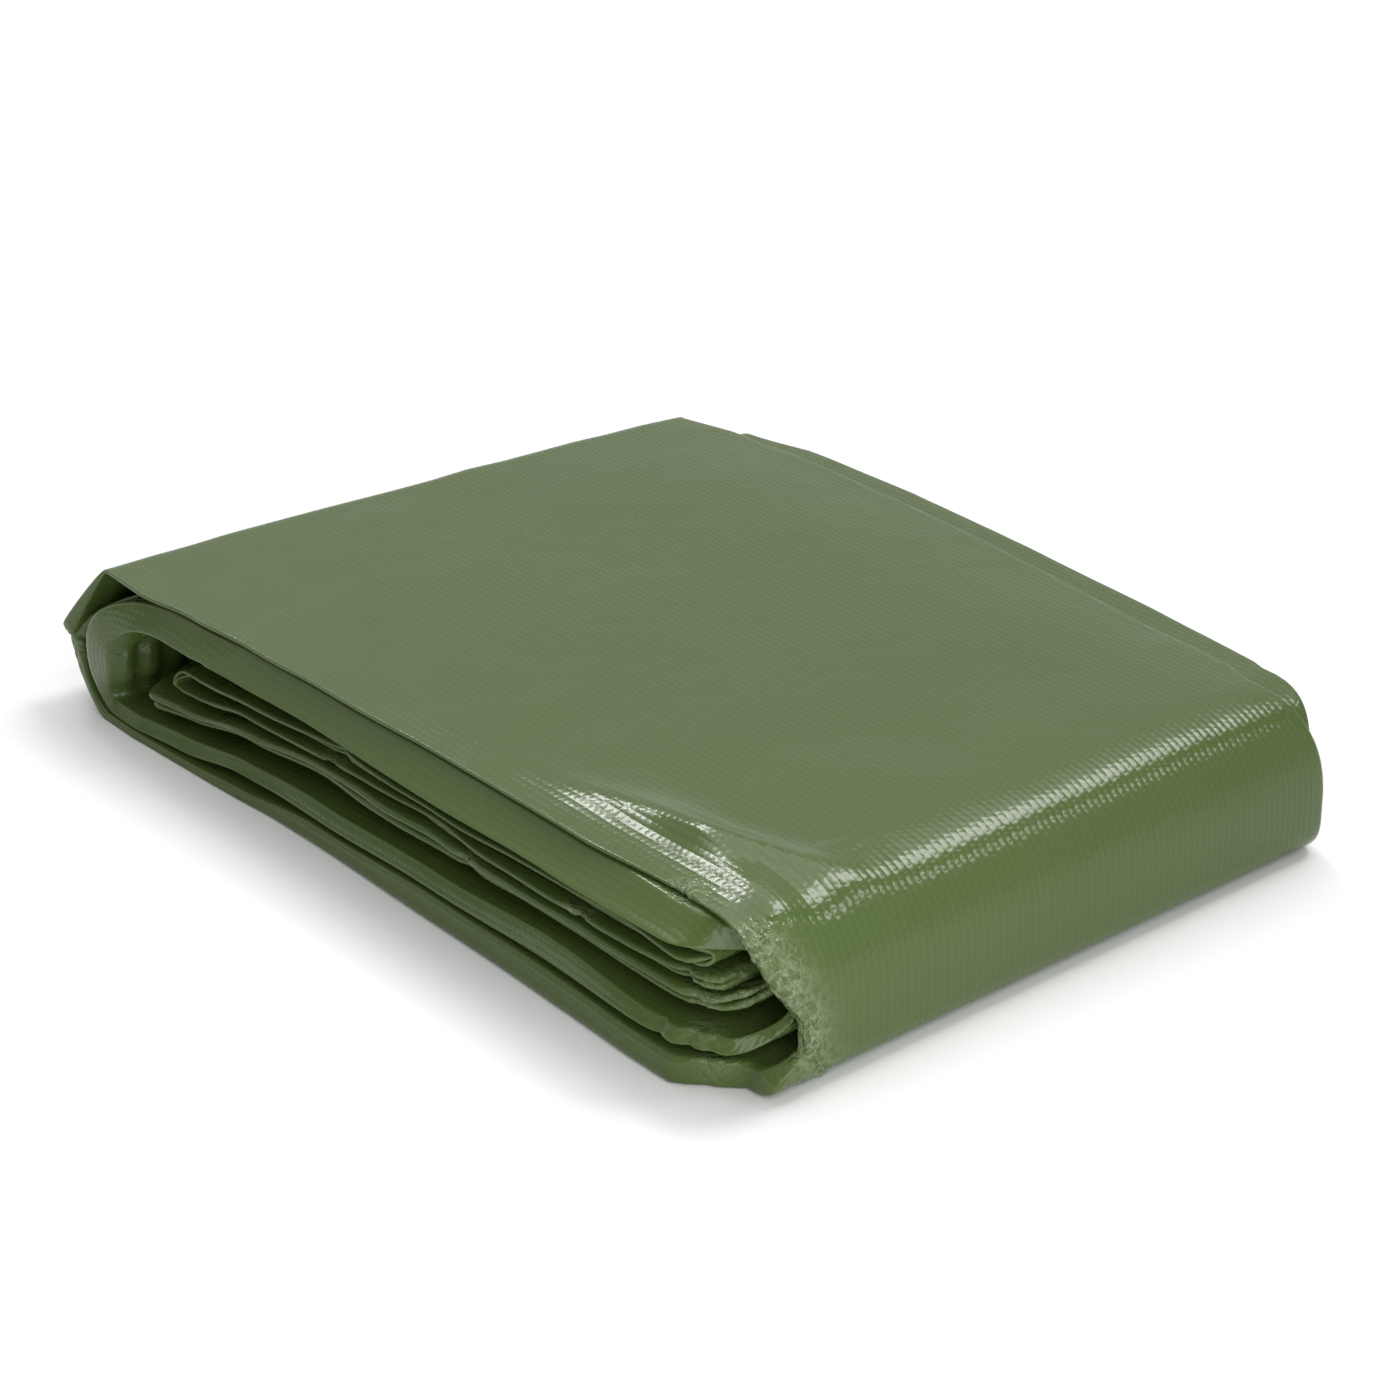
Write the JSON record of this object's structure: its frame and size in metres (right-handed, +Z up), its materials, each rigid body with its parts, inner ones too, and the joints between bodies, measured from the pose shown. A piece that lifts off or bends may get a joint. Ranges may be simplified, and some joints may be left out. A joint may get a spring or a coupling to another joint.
{
  "type": "folded tarpaulin",
  "caption": "Woven tarpaulin folded lengthwise into a strip and then end over end into a flat packet, with a smooth wrapped end and open fold edges along the sides.",
  "frame": {"origin": "centre of the packet's box, on the plane that it rests on", "axes": "+Z up through the layers, +X along the packet towards the smooth wrapped end, -Y towards the side with the fold edges seen in the picture"},
  "size_m": [0.4259, 0.3219, 0.0642],
  "materials": {
    "tarp_cloth": "coated polyethylene weave, semi-gloss"
  },
  "bodies": {
    "root": {"folded_tarp": "tarp_cloth"}
  },
  "joints": []
}
